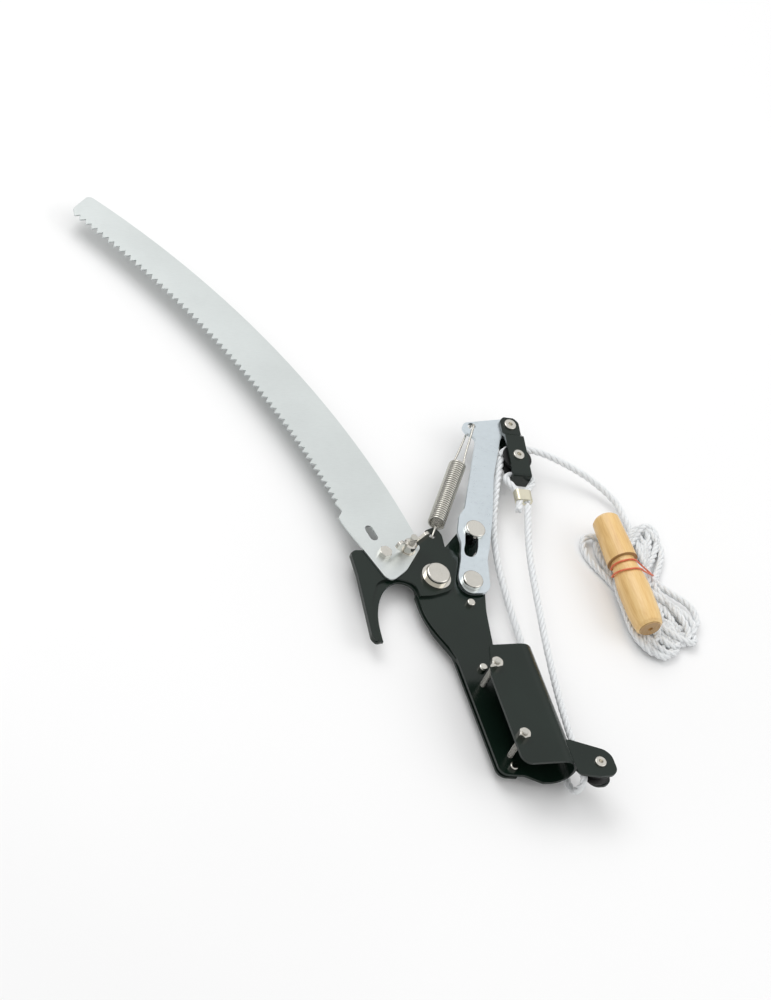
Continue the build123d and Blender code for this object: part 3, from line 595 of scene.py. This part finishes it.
# %% Enamel
def make_enamel(name, base, rough):
    f = Finish(name, Roughness=rough, Specular_IOR_Level=0.34)
    where = f.place()
    cloud = f.noise(where, 26, 4)
    peel = f.noise(where, 900, 2)
    f.feed("Base Color", f.ramp(cloud, (0.3, base), (0.75, tuple(c * 1.5 for c in base[:3]))))
    f.feed("Roughness", cloud * 0.10 + (rough - 0.04))
    f.bump(peel, 0.10, 0.0004)
    return f.material


enamel = make_enamel("black_enamel", rgb(13, 25, 19), 0.20)
nylon = make_enamel("black_nylon", rgb(14, 15, 14), 0.40)
print("enamel and nylon")

# %% [markdown]
# ## Ground saw steel
#
# The saw is cut from rolled strip and left with a fine grind across it: a flat, pale, satin metal. Streaks
# are noise squeezed hard along one direction.

# %% Steels
def make_steel(name, colour, rough, streak_turn, streaks, depth):
    f = Finish(name, Metallic=1.0)
    where = f.place(turn=(0, 0, streak_turn), scale=(1, streaks, 1))
    fine = f.noise(where, 240, 5, 0.7)
    patch = f.noise(f.place(), 18, 3)
    dark = tuple(c * 0.90 for c in colour[:3])
    f.feed("Base Color", f.ramp(fine * 0.5 + patch * 0.5, (0.35, dark), (0.65, colour)))
    f.feed("Roughness", fine * 0.16 + patch * 0.08 + (rough - 0.12))
    f.bump(fine, depth, 0.0002)
    return f.material


saw_steel = make_steel("ground_steel", rgb(214, 219, 218), 0.42, math.radians(25), 9, 0.10)
zinc = make_steel("bright_zinc", rgb(214, 223, 228), 0.30, math.radians(-28), 1.4, 0.03)
nickel = make_steel("polished_nickel", rgb(214, 211, 203), 0.15, 0.0, 1.0, 0.02)
spring_wire = make_steel("spring_wire", rgb(206, 204, 196), 0.18, 0.0, 1.0, 0.02)
ferrule = make_steel("dull_ferrule", rgb(226, 221, 200), 0.42, 0.0, 1.0, 0.06)
print("steels")

# %% [markdown]
# ## Threads
#
# Bolt shanks are threaded. At this size a thread is a fine ripple along the bolt's axis, so a wave texture
# on the object's own Z makes it. The same wave paints the thread's troughs darker: painted shade in the
# grooves.

# %% Threaded steel
def make_thread():
    f = Finish("threaded_nickel", Metallic=1.0, Roughness=0.24)
    where = f.place()
    wave = f.node("TexWave", {"wave_type": "BANDS", "bands_direction": "Z", "wave_profile": "TRI"},
                  Vector=where, Scale=400.0, out=1)
    # the dark end of this ramp is painted shade in the thread grooves
    f.feed("Base Color", f.ramp(wave, (0.0, rgb(120, 118, 110)), (0.6, rgb(232, 230, 222))))
    f.bump(wave, 0.6, 0.0005)
    return f.material


def make_pin_painted_shade():
    """The drive pin: polished above the lever, painted near black below it as painted shade where the slot
    shows it.
    """
    f = Finish("drive_pin_painted_shade", Roughness=0.16)
    above = f.node("SeparateXYZ", out=2, Vector=f.place()).math("GREATER_THAN", -1.2 * MM)
    f.feed("Metallic", above)
    # below the cut the pin is near black and not metal: painted shade of the deep slot
    f.feed("Base Color", f.blend(above, rgb(8, 9, 8), rgb(214, 211, 203)))
    return f.material


threaded = make_thread()
pin_painted_shade = make_pin_painted_shade()
print("threads and pin")

# %% [markdown]
# ## White nylon rope
#
# Each strand is a bundle of fine shiny yarns that lie at a slant. The UV map runs round and along each
# strand, so thin stripes across both give the yarns, with a soft waxy shine under them. The stripes' darker
# valleys are painted shade between the yarns.

# %% Rope material
def make_rope():
    f = Finish("white_rope", Roughness=0.45, Sheen_Weight=0.25)
    f.shader.inputs["Subsurface Weight"].default_value = 0.35
    f.shader.inputs["Subsurface Scale"].default_value = 0.002
    f.shader.inputs["Subsurface Radius"].default_value = (1, 1, 1)
    where = f.place(source="UV", scale=(14, 1, 1), turn=(0, 0, 0.35))
    yarn = f.node("TexWave", {"wave_type": "BANDS", "bands_direction": "X"}, Vector=where, Scale=1.2,
                  Distortion=1.2, Detail=2.0, out=1)
    cloud = f.noise(f.place(), 120, 3)
    # painted shade in the valleys between yarns, mixed with random tone from the noise
    tint = f.ramp(yarn * 0.7 + cloud * 0.3, (0.15, rgb(228, 232, 234)), (0.6, rgb(243, 245, 246)))
    f.feed("Base Color", tint)
    f.feed("Roughness", cloud * 0.2 + 0.34)
    f.bump(yarn, 0.35, 0.0003)
    return f.material


white_rope = make_rope()
print("rope material")

# %% [markdown]
# ## Turned and varnished wood
#
# The handle is pale beech turned along the grain: fine dark flecks run lengthwise, broad warm bands lie under
# them, and the end face nearest the camera shows darker grain. Noise stretched along the handle's own axis
# makes flecks; the varnish is a thin coat.

# %% Wood
END_FACE = 110.2 * MM       # below this the wood is end grain
# painted shadow: the groove's edge casts the dark line beside it
GROOVE_SHADOW = (165.6 * MM, 166.3 * MM)      # the dark line beside the groove


def make_wood():
    f = Finish("varnished_wood", Coat_Weight=0.35, Coat_Roughness=0.22)
    centre = (-HANDLE_X, 0, -HANDLE_Z)
    along = f.place(shift=centre, scale=(1.0, 0.06, 1.0))
    fibre = f.noise(along, 1100, 6, 0.65)
    band = f.noise(along, 170, 4, 0.5)
    tone = f.ramp(fibre * 0.45 + band * 0.55, (0.30, rgb(200, 152, 84)), (0.5, rgb(226, 187, 122)),
                  (0.72, rgb(240, 211, 154)))
    y = f.node("SeparateXYZ", out=1, Vector=f.place())
    near = y.math("LESS_THAN", END_FACE)
    groove_shadow = y.math("GREATER_THAN", GROOVE_SHADOW[0]) * y.math("LESS_THAN", GROOVE_SHADOW[1])
    rings = f.node("TexWave", {"wave_type": "RINGS", "rings_direction": "Y"}, out=1, Scale=330.0,
                   Distortion=1.2, Vector=f.place(shift=centre))
    end_grain = f.ramp(rings, (0.2, rgb(126, 92, 46)), (0.8, rgb(196, 158, 102)))
    # painted shadow of the groove's edge, laid over the wood's tone
    shaded = f.blend(groove_shadow * 0.6, tone, rgb(92, 48, 14))
    f.feed("Base Color", f.blend(near, shaded, end_grain))
    f.feed("Roughness", fibre * 0.25 + 0.28)
    f.bump(fibre, 0.15, 0.0003)
    return f.material


wood = make_wood()
print("wood")

# %% Band rubber
def make_band():
    f = Finish("red_elastic", Roughness=0.5)
    cloud = f.noise(f.place(), 400, 3)
    f.feed("Base Color", f.ramp(cloud, (0.3, rgb(206, 96, 62)), (0.7, rgb(232, 124, 88))))
    f.bump(cloud, 0.2, 0.0003)
    return f.material


band_rubber = make_band()
print("band")

# %% [markdown]
# ## Dressing the pieces
#
# Every node of the frame gets its finish by name, and so does every new piece.

# %% Assign finishes
FINISHES = {
    enamel: ["body_front_plate", "body_back_plate", "hook_plate", "pulley_strap", "lower_bracket_front",
             "lower_bracket_back", "pruning_blade"],
    nylon: ["upper_sheave", "lower_sheave"],
    saw_steel: ["saw_blade"],
    zinc: ["lever_arm", "arm_spacer_washer"],
    threaded: ["wing_bolt", "clamp_bolts"],
    pin_painted_shade: ["drive_pin"],
    ferrule: ["rope_crimp"],
    wood: ["pull_handle"],
    nickel: ["plate_spacers", "plate_rivets", "clamp_nuts", "saw_bolt", "wing_washer", "wing_nut",
             "blade_pivot_bolt", "blade_pivot_washer", "blade_pivot_nut", "arm_pivot_bolt", "arm_pivot_nut",
             "block_rivet", "upper_axle", "lower_axle"],
}


def dress(obj, material):
    obj.data.materials.clear()
    obj.data.materials.append(material)


for material, names in FINISHES.items():
    for name in names:
        dress(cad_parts[name], material)
for piece, material in ((rope_fall, white_rope), (rope_eye, white_rope), (rope_run, white_rope),
                        (spring_coil, spring_wire), (spring_link, nickel), (bands, band_rubber)):
    dress(piece, material)
print("dressed", sum(len(n) for n in FINISHES.values()), "nodes")

# %% [markdown]
# ## Floor and light
#
# A pale floor and a bright even room, with two broad soft lights for form. The floor runs far past the view
# so that it never ends in the picture.

# %% Floor
FLOOR_SIZE = 40
FLOOR_DROP = 0.0002         # keeps the floor just clear of what lies on it


def make_floor():
    mesh = bpy.data.meshes.new("floor")
    shape = bmesh.new()
    bmesh.ops.create_grid(shape, x_segments=1, y_segments=1, size=FLOOR_SIZE)
    bmesh.ops.translate(shape, verts=shape.verts, vec=(0, 0, cad_box[0][2] - FLOOR_DROP))
    shape.to_mesh(mesh)
    shape.free()
    floor = link(bpy.data.objects.new("floor", mesh))
    f = Finish("floor_white", Roughness=0.9)
    tint = f.ramp(f.noise(f.place(), 2, 2), (0.4, (0.86, 0.86, 0.86)), (0.6, (0.88, 0.88, 0.88)))
    f.feed("Base Color", tint)
    dress(floor, f.material)


make_floor()
print("floor")

# %% Lights
ROOM = ((0.05, 0.22), (0.55, 0.93))     # two heights of the room, and how bright it is there
AIM = (0, 0.2, 0)


def soft_light(name, place, aim, size, power):
    lamp = bpy.data.lights.new(name, "AREA")
    lamp.shape = "RECTANGLE"
    lamp.size, lamp.size_y = size
    lamp.energy = power
    obj = link(bpy.data.objects.new(name, lamp))
    back = (Vector(place) - Vector(aim)).normalized()
    obj.matrix_world = Matrix.Translation(place) @ back.to_track_quat("Z", "Y").to_matrix().to_4x4()


world = bpy.data.worlds.new("room")
world.use_nodes = True
sky = world.node_tree
coords = sky.nodes.new("ShaderNodeTexCoord")
split = sky.nodes.new("ShaderNodeSeparateXYZ")
ramp = sky.nodes.new("ShaderNodeValToRGB")
sky.links.new(coords.outputs["Generated"], split.inputs[0])
sky.links.new(split.outputs["Z"], ramp.inputs[0])
sky.links.new(ramp.outputs[0], sky.nodes["Background"].inputs["Color"])
for stop, (place, level) in zip(ramp.color_ramp.elements, ROOM):
    stop.position, stop.color = place, (level, level, level, 1)
sky.nodes["Background"].inputs["Strength"].default_value = 1.0
bpy.context.scene.world = world
soft_light("key", (-0.5, 1.3, 1.6), AIM, (1.6, 1.0), 13)
soft_light("fill", (1.2, -0.4, 1.2), AIM, (1.2, 1.0), 4)
bpy.context.scene.view_settings.view_transform = "Standard"
print("lights")
